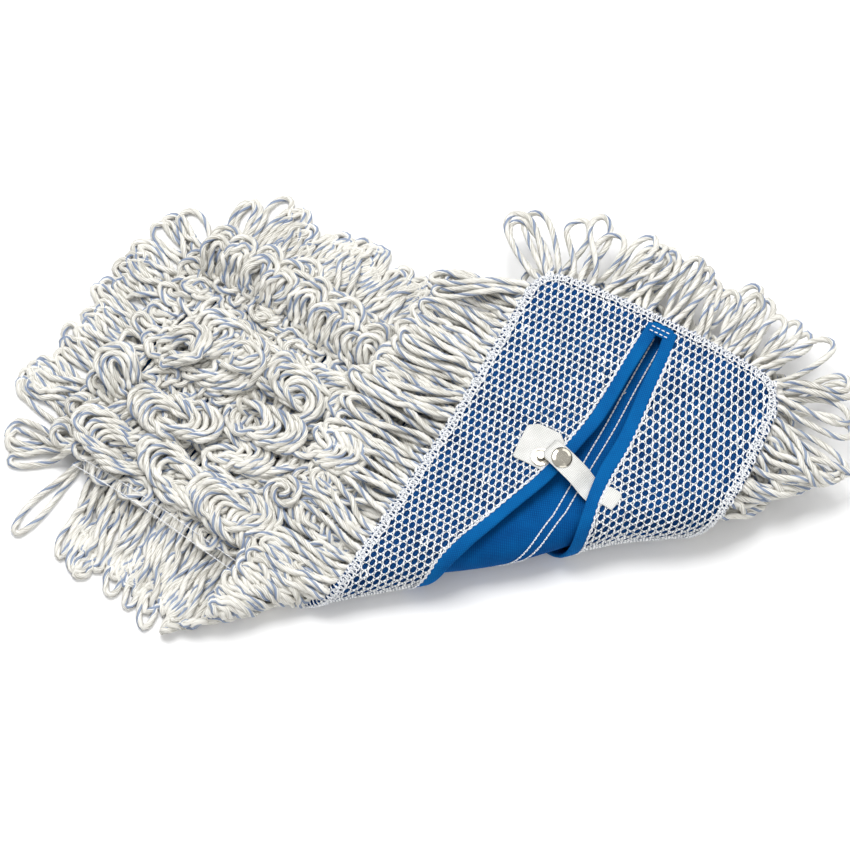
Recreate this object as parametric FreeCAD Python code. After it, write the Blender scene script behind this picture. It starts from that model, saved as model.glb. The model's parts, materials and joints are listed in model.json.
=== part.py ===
import FreeCAD, Part
import math
import os

# Looped-yarn dust mop refill: a fabric backing with a slit frame pocket on one face and rows of
# looped yarn on the other, with one end folded back over the yarn.
#
# The pad is drawn unfolded, with u along its length, v across it from the near long side and
# w up from the outer face of the back cover. It is then cut into four segments along the fold
# and each segment is turned into its folded place. +X is the unfolded length, +Z is up.

# ---- driving dimensions, mm ----
pad_length = 457.0            # backing, measured on the centre line
pad_width = 163.0
end_bow = 5.0                 # the sewn ends curve out this far at the middle
corner_radius = 18.0
fold_start = 172.0            # where the fold leaves the near long side
fold_angle = 48.0             # fold line to the pad's length, degrees
fold_height = 38.0            # over the outer faces of the two folded layers
hinge_turn = 60.0             # each of the three fold lines takes a third of the fold

net_thickness = 0.8
lining_thickness = 0.8
pocket_gap = 5.8              # takes the flat wire frame
canvas_thickness = 1.0
pile_height = 22.4            # free yarn pile above the canvas
row_count = 4
row_gap = 0.4
overlock_width = 4.5
binding_width = 8.0
binding_lap = 0.2             # the binding stands this far proud of both faces of the cover
fringe_reach = 48.0
fringe_low, fringe_high = 1.0, 12.0
tape_length, tape_width, tape_thickness = 9.0, 13.0, 0.6
slit_end = 7.0                # the slit stops this far short of each end
clearance = 0.3               # between pieces that move past each other

# Half widths of the gaping slit at stations along the length: (u, near side, far side).
slit_stations = (
    (7.0, 0.0, 0.0),
    (110.0, 6.0, 6.0),
    (200.0, 20.0, 20.0),
    (272.0, 33.0, 33.0),
    (315.0, 15.0, 19.0),
    (345.0, 6.5, 12.0),
    (393.0, 5.5, 6.0),
    (450.0, 0.0, 0.0),
)

# The snap tab that closes the slit.
tab_skew = 16.0               # the strap leans this far towards the end tape, degrees
tab_lift = 9.0                # and stands up this far from the cover, degrees
strap_width, strap_thickness = 14.0, 1.2
strap_reach = 34.0            # from its hinge line to the pointed tip
strap_point = 6.0
snap_reach = 24.0             # hinge line to the middle of the snap
cap_radius, cap_height = 6.2, 1.6
socket_radius, socket_height = 5.0, 2.0
post_radius = 1.5
hinge_rise = 1.4              # the strap turns this far outside the cover
hinge_place = (338.0, 92.5)   # u, v of the strap's root, just inside the slit's far edge
stud_place = (341.0, 58.0)    # u, v on the near cover
stud_radius, stud_disc, knob_radius, knob_height = 5.6, 0.9, 2.4, 2.2
patch_place, patch_size, patch_corner = (347.0, 54.0), (26.0, 24.0), 7.0
anchor_size = (14.0, 12.0)
tongue_length = 15.0          # of the strap, sewn under the far cover
patch_thickness = 0.6
eyelet_thickness = 0.8

# ---- levels above the outer face of the cover ----
cover_top = net_thickness + lining_thickness
canvas_low = cover_top + pocket_gap
canvas_high = canvas_low + canvas_thickness
pile_low = canvas_high + 0.2
fold_middle = fold_height / 2
pile_crushed = fold_middle - 0.2
pile_high = pile_low + pile_height
centre = pad_width / 2

# ---- the fold ----
turn = math.radians(hinge_turn)
strip_width = fold_height / (2 * math.sin(turn))
slope = math.radians(fold_angle)
along = FreeCAD.Vector(math.cos(slope), math.sin(slope), 0)
across = FreeCAD.Vector(math.sin(slope), -math.cos(slope), 0)
up = FreeCAD.Vector(0, 0, 1)
fold_point = FreeCAD.Vector(fold_start, 0, 0)
mitre = math.tan(turn / 2)
far_away = 900.0


def fold_lines():
    """Points on the three fold lines of the unfolded pad."""
    return [fold_point + across * (strip_width * i) for i in range(3)]


def wedge(low, high, top):
    """The space of one segment: from low to high across the fold, mitred where it meets another."""
    gap = clearance / 2 / math.cos(turn / 2)
    left = low + gap if low is not None else -far_away
    right = high - gap if high is not None else far_away
    left_top = left + top * mitre if low is not None else left
    right_top = right - top * mitre if high is not None else right
    section = [(left, -30.0), (left, 0.0), (left_top, top), (right_top, top), (right, 0.0), (right, -30.0)]
    start = fold_point - along * far_away
    points = [start + across * b + up * w for b, w in section]
    face = Part.Face(Part.makePolygon(points + points[:1]))
    return face.extrude(along * (2 * far_away))


strip_top = (strip_width / 2 - clearance) / mitre - 1.0
wedges = {
    "flat": wedge(None, 0.0, 60.0),
    "fold_1": wedge(0.0, strip_width, strip_top),
    "fold_2": wedge(strip_width, 2 * strip_width, strip_top),
    "end": wedge(2 * strip_width, None, 60.0),
}
turns = {"flat": 0, "fold_1": 1, "fold_2": 2, "end": 3}


def fold_up(shape, segment):
    """Turn an unfolded piece of a segment into its folded place."""
    placed = shape.copy()
    for line in reversed(fold_lines()[: turns[segment]]):
        placed.rotate(line, along, -hinge_turn)
    return placed


# ---- outlines on the unfolded pad ----
def plate(wire, low, high):
    face = Part.Face(wire)
    face.translate(up * low)
    return face.extrude(up * (high - low))


def box(u0, u1, v0, v1, low, high):
    return Part.makeBox(u1 - u0, v1 - v0, high - low, FreeCAD.Vector(u0, v0, low))


def rounded_pad(grow, low, high):
    """The pad's outline, larger by grow all round, as a plate with bowed ends."""
    radius = corner_radius + grow
    u0, u1 = end_bow - grow, pad_length - end_bow + grow
    v0, v1 = -grow, pad_width + grow
    vector = FreeCAD.Vector
    corners = [vector(u0, v0, 0), vector(u1, v0, 0), vector(u1, v1, 0), vector(u0, v1, 0)]
    right_bow = vector(u1 + end_bow, centre, 0)
    left_bow = vector(u0 - end_bow, centre, 0)
    edges = [
        Part.makeLine(corners[0], corners[1]),
        Part.Arc(corners[1], right_bow, corners[2]).toShape(),
        Part.makeLine(corners[2], corners[3]),
        Part.Arc(corners[3], left_bow, corners[0]).toShape(),
    ]
    solid = plate(Part.Wire(edges), low, high)
    uprights = [edge for edge in solid.Edges if abs(edge.tangentAt(edge.FirstParameter).z) > 0.99]
    return solid.makeFillet(radius, uprights)


def slit_edge(side, grow):
    """One edge of the slit as a curve, moved out by grow: side -1 is the near edge, 1 the far."""
    column = 1 if side < 0 else 2
    points = [
        FreeCAD.Vector(station[0], centre + side * (station[column] + grow), 0) for station in slit_stations
    ]
    curve = Part.BSplineCurve()
    curve.interpolate(points)
    return curve.toShape()


def slit_band(side, inner, outer, low, high):
    """A band along one edge of the slit, between two distances from the edge."""
    near_curve, far_curve = slit_edge(side, inner), slit_edge(side, outer)
    ends = [
        Part.makeLine(near_curve.Vertexes[i].Point, far_curve.Vertexes[i].Point) for i in (0, -1)
    ]
    band = plate(Part.Wire([near_curve, ends[1], far_curve, ends[0]]), low, high)
    reach = far_away * side
    return band.common(box(0.0, pad_length, *sorted((centre + 0.1 * side, centre + reach)), low, high))


def cover_half(side, inset, edge, low, high):
    """Half of the back cover: the pad's outline less inset, out to the given distance from the slit."""
    body = rounded_pad(-inset, low, high)
    if side < 0:
        half = box(-far_away, far_away, -far_away, centre, low, high)
    else:
        half = box(-far_away, far_away, centre, far_away, low, high)
    body = body.common(half)
    curve = slit_edge(side, edge)
    first, last = curve.Vertexes[0].Point, curve.Vertexes[-1].Point
    back = centre - side * 20.0
    run = [
        FreeCAD.Vector(last.x + 40, last.y, 0),
        FreeCAD.Vector(last.x + 40, back, 0),
        FreeCAD.Vector(first.x - 40, back, 0),
        FreeCAD.Vector(first.x - 40, first.y, 0),
    ]
    loop = Part.Wire([curve] + [Part.makeLine(a, b) for a, b in zip([last] + run, run + [first])])
    return body.cut(plate(loop, low - 1, high + 1))


# ---- layers, unfolded ----
def yarn_row(index, segment):
    """One row of pile. It stands free where nothing lies on it, and is crushed under the fold."""
    pitch = (pad_width - 2 * overlock_width) / row_count
    v0 = overlock_width + pitch * index + row_gap / 2
    v1 = v0 + pitch - row_gap
    inner = rounded_pad(-overlock_width, pile_low - 1, pile_high + 1)
    low = inner.common(box(0.0, pad_length, v0, v1, pile_low, pile_crushed))
    if segment == "end":
        return low
    # The folded end and its fringe cover the pad from this line on, measured along the fold's turn.
    shade = Part.makeBox(far_away, 2 * far_away, 100.0, FreeCAD.Vector(0, -far_away, 0))
    shade.rotate(FreeCAD.Vector(0, 0, 0), up, 2 * fold_angle - 90.0)
    shade.translate(FreeCAD.Vector(fold_start - fringe_reach - 2.0, 0, 0))
    tall = inner.common(box(0.0, pad_length, v0, v1, pile_low, pile_high))
    gap = shade.copy()
    gap.translate(FreeCAD.Vector(-row_gap, 0, 0))
    return Part.makeCompound([tall.cut(gap), low.common(shade)])


def fringe(side):
    """Looped fringe along the near side, the far side or the two ends."""
    ring = rounded_pad(fringe_reach, fringe_low, fringe_high)
    ring = ring.cut(rounded_pad(0.0, fringe_low - 1, fringe_high + 1))
    if side == "near":
        return ring.common(box(-far_away, far_away, -far_away, 0.0, 0.0, 60.0))
    if side == "far":
        return ring.common(box(-far_away, far_away, pad_width, far_away, 0.0, 60.0))
    return ring.common(box(-far_away, far_away, 0.0, pad_width, 0.0, 60.0))


def overlock():
    """Serged edge that closes the pocket all round the backing."""
    ring = rounded_pad(0.0, 0.0, canvas_high)
    return ring.cut(rounded_pad(-overlock_width, -1.0, canvas_high + 1))


def end_tapes():
    """Folded tape sewn over each end of the slit, on the canvas side of the cover and over it."""
    tapes = []
    for u0 in (slit_end - 2.0, pad_length - slit_end - tape_length + 2.0):
        tapes.append(box(u0, u0 + tape_length, centre - tape_width / 2, centre + tape_width / 2,
                         cover_top + binding_lap, cover_top + binding_lap + tape_thickness))
    return Part.makeCompound(tapes)


def keep(shape, segment):
    """The part of an unfolded layer that belongs to a segment, folded into place."""
    return fold_up(shape.common(wedges[segment]), segment)


def cylinder(radius, low, high, u, v):
    return Part.makeCylinder(radius, high - low, FreeCAD.Vector(u, v, low))


def rounded_patch(u, v, size, corner, low, high):
    """A small rectangle of tape, rounded at its corners."""
    patch = box(u - size[0] / 2, u + size[0] / 2, v - size[1] / 2, v + size[1] / 2, low, high)
    uprights = [edge for edge in patch.Edges if abs(edge.tangentAt(edge.FirstParameter).z) > 0.99]
    return patch.makeFillet(corner, uprights)


# ---- the snap tab ----
def place_on_hinge(shape):
    """Move a piece drawn along the strap, root at the origin and outer side up, to its place."""
    placed = shape.copy()
    placed.rotate(FreeCAD.Vector(0, 0, 0), FreeCAD.Vector(0, 1, 0), 180.0)
    placed.rotate(FreeCAD.Vector(0, 0, 0), up, 90.0 + tab_skew)
    placed.rotate(FreeCAD.Vector(0, 0, 0), hinge_direction(), tab_lift)
    placed.translate(FreeCAD.Vector(hinge_place[0], hinge_place[1], -hinge_rise))
    return placed


def hinge_direction():
    """The strap's hinge line on the unfolded pad. A positive turn lifts the strap off the cover."""
    lean = math.radians(tab_skew)
    return FreeCAD.Vector(math.cos(lean), math.sin(lean), 0)


def strap():
    root, shoulder, half = clearance * 3, strap_reach - strap_point, strap_width / 2
    tip = half * 0.25
    outline = [(root, -half), (shoulder, -half), (strap_reach, -tip), (strap_reach, tip),
               (shoulder, half), (root, half)]
    points = [FreeCAD.Vector(x, y, 0) for x, y in outline]
    body = plate(Part.makePolygon(points + points[:1]), -strap_thickness / 2, strap_thickness / 2)
    return body.cut(cylinder(post_radius + 0.1, -5.0, 5.0, snap_reach, 0))


def turned(profile, u, v):
    """A round part from its half section of (radius, height) points."""
    points = [FreeCAD.Vector(r, 0, h) for r, h in profile]
    face = Part.Face(Part.makePolygon(points + points[:1]))
    body = face.revolve(FreeCAD.Vector(0, 0, 0), up, 360)
    body.translate(FreeCAD.Vector(u, v, 0))
    return body


def snap_cap():
    """Domed cap on the strap's outer side, with the post that holds the socket under it."""
    base, top, bottom = strap_thickness / 2, strap_thickness / 2 + cap_height, -strap_thickness / 2
    profile = [(0, bottom - 0.8), (post_radius, bottom - 0.8), (post_radius, base), (cap_radius, base),
               (cap_radius, base + 0.5), (cap_radius - 0.8, base + 1.1), (cap_radius - 2.4, top), (0, top)]
    return turned(profile, snap_reach, 0)


def snap_socket():
    """Ring under the strap that snaps over the stud."""
    top = -strap_thickness / 2
    low = top - socket_height
    bore = knob_radius + 0.1
    profile = [(post_radius, top), (socket_radius, top), (socket_radius, low + 0.4),
               (socket_radius - 0.5, low), (bore, low), (bore, top - 0.9), (post_radius, top - 0.9)]
    return turned(profile, snap_reach, 0)


def snap_stud():
    """Stud on the near cover: a rimmed disc with a knob."""
    u, v = stud_place
    seat = -patch_thickness
    disc, top = seat - stud_disc, seat - stud_disc - knob_height
    profile = [(post_radius, seat), (stud_radius, seat), (stud_radius, disc), (stud_radius - 1.2, disc),
               (stud_radius - 1.2, disc + 0.4), (knob_radius - 0.4, disc + 0.4), (knob_radius, top + 0.8),
               (knob_radius - 0.3, top), (0, top), (0, disc + 0.2), (post_radius, disc + 0.2)]
    return turned(profile, u, v)


def stud_eyelet():
    """Washer and post behind the cover that hold the stud."""
    u, v = stud_place
    low, high = cover_top, cover_top + eyelet_thickness
    profile = [(0, high), (stud_radius, high), (stud_radius, low), (post_radius, low),
               (post_radius, -patch_thickness - stud_disc + 0.2), (0, -patch_thickness - stud_disc + 0.2)]
    return turned(profile, u, v)


def strap_tongue():
    """The strap's sewn root: a tongue under the far cover and a riser through the slit."""
    half = strap_thickness / 2
    u, v = hinge_place
    low, high = cover_top + binding_lap, cover_top + binding_lap + 0.8
    width = strap_width / 2
    tongue = box(u - width, u + width, v - half, v + tongue_length, low, high)
    riser = box(u - width, u + width, v - half, v + half, clearance * 3 - hinge_rise, high)
    return tongue.fuse(riser).removeSplitter()


# ---- cut the layers into segments and fold them ----
stud_bore = cylinder(post_radius + 0.05, -1.0, cover_top + 1.0, *stud_place)
layers = {
    "canvas": rounded_pad(-overlock_width, canvas_low, canvas_high),
    "overlock_edge": overlock(),
}
for name, side in (("near", -1), ("far", 1)):
    layers["net_cover_" + name] = cover_half(side, overlock_width, binding_width, 0.0, net_thickness)
    layers["lining_" + name] = cover_half(side, overlock_width, binding_width, net_thickness, cover_top)
    layers["slit_binding_" + name] = slit_band(side, 0.0, binding_width, 0.0, cover_top + binding_lap)
for name in ("net_cover_near", "lining_near"):
    layers[name] = layers[name].cut(stud_bore)

parts = {}
for segment in wedges:
    for name, layer in layers.items():
        parts[name + "_" + segment] = keep(layer, segment)
for segment in ("flat", "end"):
    for index in range(row_count):
        parts["yarn_row_%d_%s" % (index + 1, segment)] = keep(yarn_row(index, segment), segment)
    for side in ("near", "ends", "far"):
        name = "fringe_%s_%s" % (side.replace("ends", "end"), segment)
        parts[name] = keep(fringe(side), segment)
    parts["slit_end_tape_" + segment] = keep(end_tapes(), segment)
strip_pile = rounded_pad(-overlock_width, pile_low, pile_crushed)
strip_fringe = Part.makeCompound([fringe("near"), fringe("far")])
for segment in ("fold_1", "fold_2"):
    parts["yarn_pile_" + segment] = keep(strip_pile, segment)
    parts["fringe_" + segment] = keep(strip_fringe, segment)
    # On the narrow fold strips the two plies of each cover are one piece.
    for side in ("near", "far"):
        lining = parts.pop("lining_" + side + "_" + segment)
        cover = parts.pop("net_cover_" + side + "_" + segment)
        parts["cover_" + side + "_" + segment] = cover.fuse(lining).removeSplitter()

tab_pieces = {"tab_strap": strap(), "snap_cap": snap_cap(), "snap_socket": snap_socket()}
for name, shape in tab_pieces.items():
    parts[name] = fold_up(place_on_hinge(shape), "end")
bare = cylinder(post_radius + 0.05, -9.0, 9.0, *stud_place)
patch = rounded_patch(*patch_place, patch_size, patch_corner, -patch_thickness, 0.0)
anchor_v = hinge_place[1] + tongue_length - anchor_size[1] / 2
anchor = rounded_patch(hinge_place[0], anchor_v, anchor_size, 2.0, -patch_thickness, 0.0)
fixed_pieces = {
    "stud_patch": patch.cut(bare),
    "tab_anchor_patch": anchor,
    "snap_stud": snap_stud(),
    "stud_eyelet": stud_eyelet(),
    "tab_strap_root": strap_tongue(),
}
for name, shape in fixed_pieces.items():
    parts[name] = fold_up(shape, "end")

# ---- the origin: the middle of the folded mop's footprint, on the floor ----
extent = Part.makeCompound(list(parts.values())).BoundBox
origin = FreeCAD.Vector(extent.Center.x, extent.Center.y, 0.0)

os.makedirs("parts", exist_ok=True)
for name, shape in parts.items():
    shape.translate(-origin)
    shape.exportStep("parts/" + name + ".step")
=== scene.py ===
import itertools
import json
import math

import bpy
import numpy as np
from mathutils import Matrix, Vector


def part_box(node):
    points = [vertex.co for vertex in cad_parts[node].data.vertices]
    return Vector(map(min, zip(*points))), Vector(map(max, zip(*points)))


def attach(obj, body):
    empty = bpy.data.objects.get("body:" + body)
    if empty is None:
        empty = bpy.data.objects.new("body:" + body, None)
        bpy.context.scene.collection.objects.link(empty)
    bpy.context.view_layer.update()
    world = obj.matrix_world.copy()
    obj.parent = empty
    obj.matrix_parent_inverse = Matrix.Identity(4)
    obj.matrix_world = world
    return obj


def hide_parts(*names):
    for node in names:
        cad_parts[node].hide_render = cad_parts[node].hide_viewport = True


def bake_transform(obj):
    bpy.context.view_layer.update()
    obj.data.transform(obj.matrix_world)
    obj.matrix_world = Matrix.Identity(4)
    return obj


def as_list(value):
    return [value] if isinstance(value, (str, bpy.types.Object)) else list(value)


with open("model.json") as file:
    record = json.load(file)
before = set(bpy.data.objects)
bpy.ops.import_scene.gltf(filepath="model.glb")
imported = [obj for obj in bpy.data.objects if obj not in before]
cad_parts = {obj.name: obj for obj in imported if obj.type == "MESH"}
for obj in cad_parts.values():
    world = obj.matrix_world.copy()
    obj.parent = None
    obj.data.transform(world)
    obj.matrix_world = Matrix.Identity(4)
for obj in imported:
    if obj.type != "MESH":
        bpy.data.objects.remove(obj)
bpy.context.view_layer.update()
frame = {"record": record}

bl_info = {
    "name": "Looped-Yarn Mop Refill",
    "version": (1, 0, 0),
    "blender": (4, 5, 0),
    "location": "View3D > Sidebar > Mop Refill",
    "description": "Builds the fabric, yarn and fittings of a folded looped-yarn mop refill",
    "category": "Add Mesh",
}

JOINTS = {joint["name"]: joint for joint in frame["record"]["behaviour"]["joints"]}
MM = 0.001

# ---- the backing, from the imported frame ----
PAD_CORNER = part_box("overlock_edge_flat")[0]
PAD_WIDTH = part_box("overlock_edge_flat")[1][1] - PAD_CORNER[1]
PAD_LENGTH = 457 * MM
PAD_MIDDLE = PAD_WIDTH / 2
PAD_BOW = 5 * MM
PAD_ROUND = 18 * MM
EDGE_WIDTH = 4.5 * MM
CANVAS_LOW, CANVAS_HIGH = 7.4 * MM, 8.4 * MM
NET_DEPTH = 0.8 * MM
TAPE_STOP = 7 * MM
STITCH_SHIFT = 1.5 * MM

# ---- the fold: three hinge lines rounded into one half turn ----
ALONG = np.array(JOINTS["fold_line_1"]["axis"])
ACROSS = np.array([ALONG[1], -ALONG[0], 0.0])
FOLD_PLACE = np.array(JOINTS["fold_line_1"]["pos_m"])
FOLD_HEIGHT = JOINTS["fold_line_3"]["pos_m"][2]
FOLD_RADIUS = FOLD_HEIGHT / 2
STRIP = math.dist(JOINTS["fold_line_1"]["pos_m"], JOINTS["fold_line_2"]["pos_m"])
FOLD_LEAD = (math.pi * FOLD_RADIUS - 2 * STRIP) / 2
FOLD_THIRD = math.pi * FOLD_RADIUS / 3
# The soft roll is tighter at its near end and swells at its far end.
TIGHTER, TIGHT_LENGTH = 5.5 * MM, 125 * MM
SWELL, SWELL_START = 9 * MM, 183 * MM
BODIES = ("pad_flat", "fold_strip_1", "fold_strip_2", "pad_end")
SEGMENTS = ("flat", "fold_1", "fold_2", "end")
PARTS = ("flat", "fold", "end")
# Half widths of the gaping slit at stations along the pad: (u, near side, far side), in mm.
SLIT = np.array((
    (7, 0, 0), (60, 2.5, 2.5), (110, 6, 6), (170, 14, 14), (205, 25, 22), (232, 33.5, 28), (255, 36, 30),
    (274, 32.5, 28), (292, 26, 23), (312, 19, 15.5), (331, 12, 11.5), (352, 7, 9.6), (374, 3.2, 9),
    (400, 1.6, 7.6), (425, 0.9, 6), (440, 0.6, 4.4), (450, 0, 2.5),
)) * MM


def bow(u, v):
    """The sewn ends curve out at the middle."""
    return u + PAD_BOW * (2 * v / PAD_WIDTH - 1) ** 2 * (1 - 2 * u / PAD_LENGTH)


def from_fold(u, v):
    """Offset in x and y of a point of the unfolded pad from the first hinge."""
    return bow(u, v) + PAD_CORNER[0] - FOLD_PLACE[0], v + PAD_CORNER[1] - FOLD_PLACE[1]


def fold_distance(u, v):
    """How far a point of the unfolded pad lies past the first fold line."""
    x, y = from_fold(u, v)
    return x * ACROSS[0] + y * ACROSS[1]


def thirds(u, v):
    """How many thirds of the fold's half turn a point of the unfolded pad lies past its start."""
    return (fold_distance(u, v) + FOLD_LEAD) / FOLD_THIRD


def place(points):
    """Takes points (u, v, w) of the unfolded pad to their folded place, with w up from the cover's face."""
    points = np.atleast_2d(np.asarray(points, float))
    u, v, w = points[:, 0], points[:, 1], points[:, 2]
    x, y = from_fold(u, v)
    a = x * ALONG[0] + y * ALONG[1]
    b = x * ACROSS[0] + y * ACROSS[1] + FOLD_LEAD
    radius = FOLD_RADIUS - TIGHTER * (1 - ease(a / TIGHT_LENGTH))
    turn = np.clip(b / radius, 0, math.pi)
    before = np.minimum(b, 0)
    after = np.maximum(b - math.pi * radius, 0)
    swell = SWELL * ease((a - SWELL_START) / (50 * MM)) * np.sin(turn / 2) * (1 - ease(after / (70 * MM)))
    reach = -FOLD_LEAD + before - after + (radius - w) * np.sin(turn) + swell
    height = radius - (radius - w) * np.cos(turn)
    flat = FOLD_PLACE[None, :2] + a[:, None] * ALONG[None, :2] + reach[:, None] * ACROSS[None, :2]
    return np.column_stack([flat, height + soft_lift(after, u, v)])


def ease(share):
    """Goes smoothly from 0 to 1 as share does."""
    share = np.clip(share, 0, 1)
    return share * share * (3 - 2 * share)


def unfold(x, y):
    """Pad coordinates (u, v) of a place on the folded end."""
    offset = np.array([x, y]) - FOLD_PLACE[:2]
    a = offset @ ALONG[:2]
    reach = offset @ ACROSS[:2]
    b = math.pi * FOLD_RADIUS - FOLD_LEAD - (reach + FOLD_LEAD)
    place_xy = FOLD_PLACE[:2] + a * ALONG[:2] + b * ACROSS[:2]
    return place_xy[0] - PAD_CORNER[0], place_xy[1] - PAD_CORNER[1]


def box_middle(name):
    """Middle of a CAD node's box."""
    low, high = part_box(name)
    return np.array([(low[i] + high[i]) / 2 for i in range(3)])


# The closed snap on the unfolded pad: the middle between its stud and the strap's patch.
SNAP_PLACE = unfold(*((box_middle("snap_stud") + box_middle("tab_anchor_patch")) / 2)[:2])


def soft_lift(after, u, v):
    """The folded end isn't quite flat: it dips towards its outer corner and lifts beside the fringe."""
    share = np.clip(after / (150 * MM), 0, 1)
    across = v / PAD_WIDTH
    ripple = np.sin(u / (31 * MM) + 1.3) * np.sin(v / (37 * MM))
    beside_snap = np.exp(-((u - SNAP_PLACE[0]) ** 2 + (v - SNAP_PLACE[1]) ** 2) / (42 * MM) ** 2)
    return share * (5.0 * MM * (0.3 - across ** 2) + 0.9 * MM * ripple) * (1 - beside_snap)


def slit_half(u, side):
    """Half width of the slit at u, on the near (-1) or far (1) side."""
    column = 1 if side < 0 else 2
    fine = np.linspace(SLIT[0, 0], SLIT[-1, 0], 400)
    rough = np.interp(fine, SLIT[:, 0], SLIT[:, column])
    kernel = np.hanning(21) / np.hanning(21).sum()
    smooth = np.convolve(np.pad(rough, 10, mode="edge"), kernel, mode="valid")
    return np.interp(u, fine, smooth)


# ---- meshes ----
def make_mesh(name, points, faces, materials, marks=None, uv=None):
    """A mesh object from arrays. Every row of faces has the same number of corners."""
    points, faces = np.asarray(points, np.float32), np.asarray(faces, np.int32)
    corners = faces.shape[1]
    mesh = bpy.data.meshes.new(name)
    mesh.vertices.add(len(points))
    mesh.vertices.foreach_set("co", points.ravel())
    mesh.loops.add(faces.size)
    mesh.loops.foreach_set("vertex_index", faces.ravel())
    mesh.polygons.add(len(faces))
    mesh.polygons.foreach_set("loop_start", np.arange(0, faces.size, corners, dtype=np.int32))
    for material in materials:
        mesh.materials.append(material)
    if marks is not None:
        mesh.polygons.foreach_set("material_index", np.asarray(marks, np.int32))
    mesh.polygons.foreach_set("use_smooth", np.full(len(faces), True))
    if uv is not None:
        layer = mesh.uv_layers.new(name="cloth")
        layer.data.foreach_set("uv", np.asarray(uv, np.float32)[faces.ravel()].ravel())
    mesh.update(calc_edges=True)
    mesh.validate()
    piece = bpy.data.objects.new(name, mesh)
    bpy.context.scene.collection.objects.link(piece)
    return piece


def fold_spans(points, faces):
    """Which third of the fold, with what lies beyond it, each face of an unfolded cloth belongs to."""
    middle = np.asarray(points)[np.asarray(faces)].mean(axis=1)
    return np.clip(np.floor(thirds(middle[:, 0], middle[:, 1])), 0, 2).astype(int)


def bend(piece, third, depth):
    """Works out the two ends of one hinge line of the fold, and bakes the cloth piece's placing into its mesh.
    """
    ends = []
    for step in (third, third + 1):
        distance = step * FOLD_THIRD - FOLD_LEAD
        u = FOLD_PLACE[0] - PAD_CORNER[0] + distance / ACROSS[0]
        turn = step * math.pi / 3
        reach = -FOLD_LEAD + (FOLD_RADIUS - depth) * math.sin(turn)
        height = FOLD_RADIUS - (FOLD_RADIUS - depth) * math.cos(turn)
        ends.append(FOLD_PLACE + ACROSS * reach + np.array([0, 0, height]))
    tuple(ends[0])
    tuple(ends[1])
    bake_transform(piece)


def fold_cloth(name, points, faces, material, depth, nodes, held=None, rests_on=()):
    """Cuts an unfolded cloth in three at the fold and folds it.

    nodes gives the CAD pieces that each of the three stands for, and rests_on what each lies on."""
    points, faces = np.asarray(points, float), np.asarray(faces, int)
    spans = fold_spans(points, faces)
    for third, part in enumerate(PARTS):
        chosen = faces[spans == third]
        used, index = np.unique(chosen, return_inverse=True)
        chosen = index.reshape(chosen.shape)
        kept = points[used]
        piece = make_mesh("%s_cloth_%s" % (name, part), place(kept), chosen, [material], None, kept[:, :2])
        bend(piece, third, depth)
        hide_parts(*nodes[third])
        if held:
            tilt = np.array([[ALONG[0], ACROSS[0]], [ALONG[1], ACROSS[1]]])
            sizes = [np.ptp(kept[:, :2], axis=0), np.ptp(kept[:, :2] @ tilt, axis=0)]
            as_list(rests_on[third])


def nodes_for(kind):
    """The CAD nodes of a cloth that runs the whole length, for the flat part, the fold and the end."""
    return [[kind + "_flat"], [kind + "_fold_1", kind + "_fold_2"], [kind + "_end"]]


def cloths_of(name):
    """The three pieces of a cloth made by fold_cloth."""
    return [["%s_cloth_%s" % (name, part)] for part in PARTS]


def grid_faces(rows, columns):
    """Quads of a grid of points stored row by row."""
    r, c = np.meshgrid(np.arange(rows - 1), np.arange(columns - 1), indexing="ij")
    first = (r * columns + c).ravel()
    return np.column_stack([first, first + 1, first + columns + 1, first + columns])


def tube_faces(rings, count):
    """Quads of a tube of closed rings, each of count points."""
    r, c = np.meshgrid(np.arange(rings - 1) * count, np.arange(count), indexing="ij")
    r, c = r.ravel(), c.ravel()
    after = (c + 1) % count
    return np.column_stack([r + c, r + after, r + count + after, r + count + c])


def lengths_along(path):
    """Length of a path from its start to each of its points."""
    return np.concatenate([[0], np.cumsum(np.linalg.norm(np.diff(path, axis=0), axis=1))])


def corner_inset(v, inset):
    """How far the rounded end of the pad lies in from its straight end, at v."""
    radius = PAD_ROUND - inset
    from_side = np.minimum(v, PAD_WIDTH - v) - inset
    short = np.clip(radius - from_side, 0, radius)
    return inset + radius - np.sqrt(np.maximum(radius ** 2 - short ** 2, 0))


def perimeter(spacing, inset=0.0):
    """Even stations round the pad's outline: places (u, v) and the outward directions there."""
    radius = PAD_ROUND - inset
    low, high_u, high_v = inset + radius, PAD_LENGTH - inset - radius, PAD_WIDTH - inset - radius
    corners = ((high_u, low, -90), (high_u, high_v, 0), (low, high_v, 90), (low, low, 180))
    points, outward = [], []
    for u, v, start in corners:
        for step in range(13):
            angle = math.radians(start + step * 7.5)
            outward.append((math.cos(angle), math.sin(angle)))
            points.append((u + radius * outward[-1][0], v + radius * outward[-1][1]))
    points, outward = np.array(points + points[:1]), np.array(outward + outward[:1])
    length = lengths_along(points)
    count = int(round(length[-1] / spacing))
    where = np.arange(count) * length[-1] / count
    place_uv = np.column_stack([np.interp(where, length, points[:, i]) for i in (0, 1)])
    out = np.column_stack([np.interp(where, length, outward[:, i]) for i in (0, 1)])
    return place_uv, out / np.linalg.norm(out, axis=1)[:, None]


# ---- yarn and thread ----
# Section of the mop yarn: (angle in degrees, share of the radius). A thin tracer ply, then two white ones.
YARN_SECTION = ((0, .77), (15, .94), (48, .94), (64, .77), (92, .98), (143, 1.0),
                (190, .98), (215, .76), (239, .98), (287, 1.0), (335, .98), (352, .84))
TRACER_FACES = 3
YARN_TURN = 25 * MM
STRAND_STEP = 4.2 * MM
# Each round of settling: how far yarn sinks, how much of an overlap and of a stretch is taken out.
SINK, PRESSED, UNSTRETCHED = 0.1 * MM, 0.3, 0.4
SETTLE_ROUNDS = 36
SQUASHED = 0.93
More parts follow.
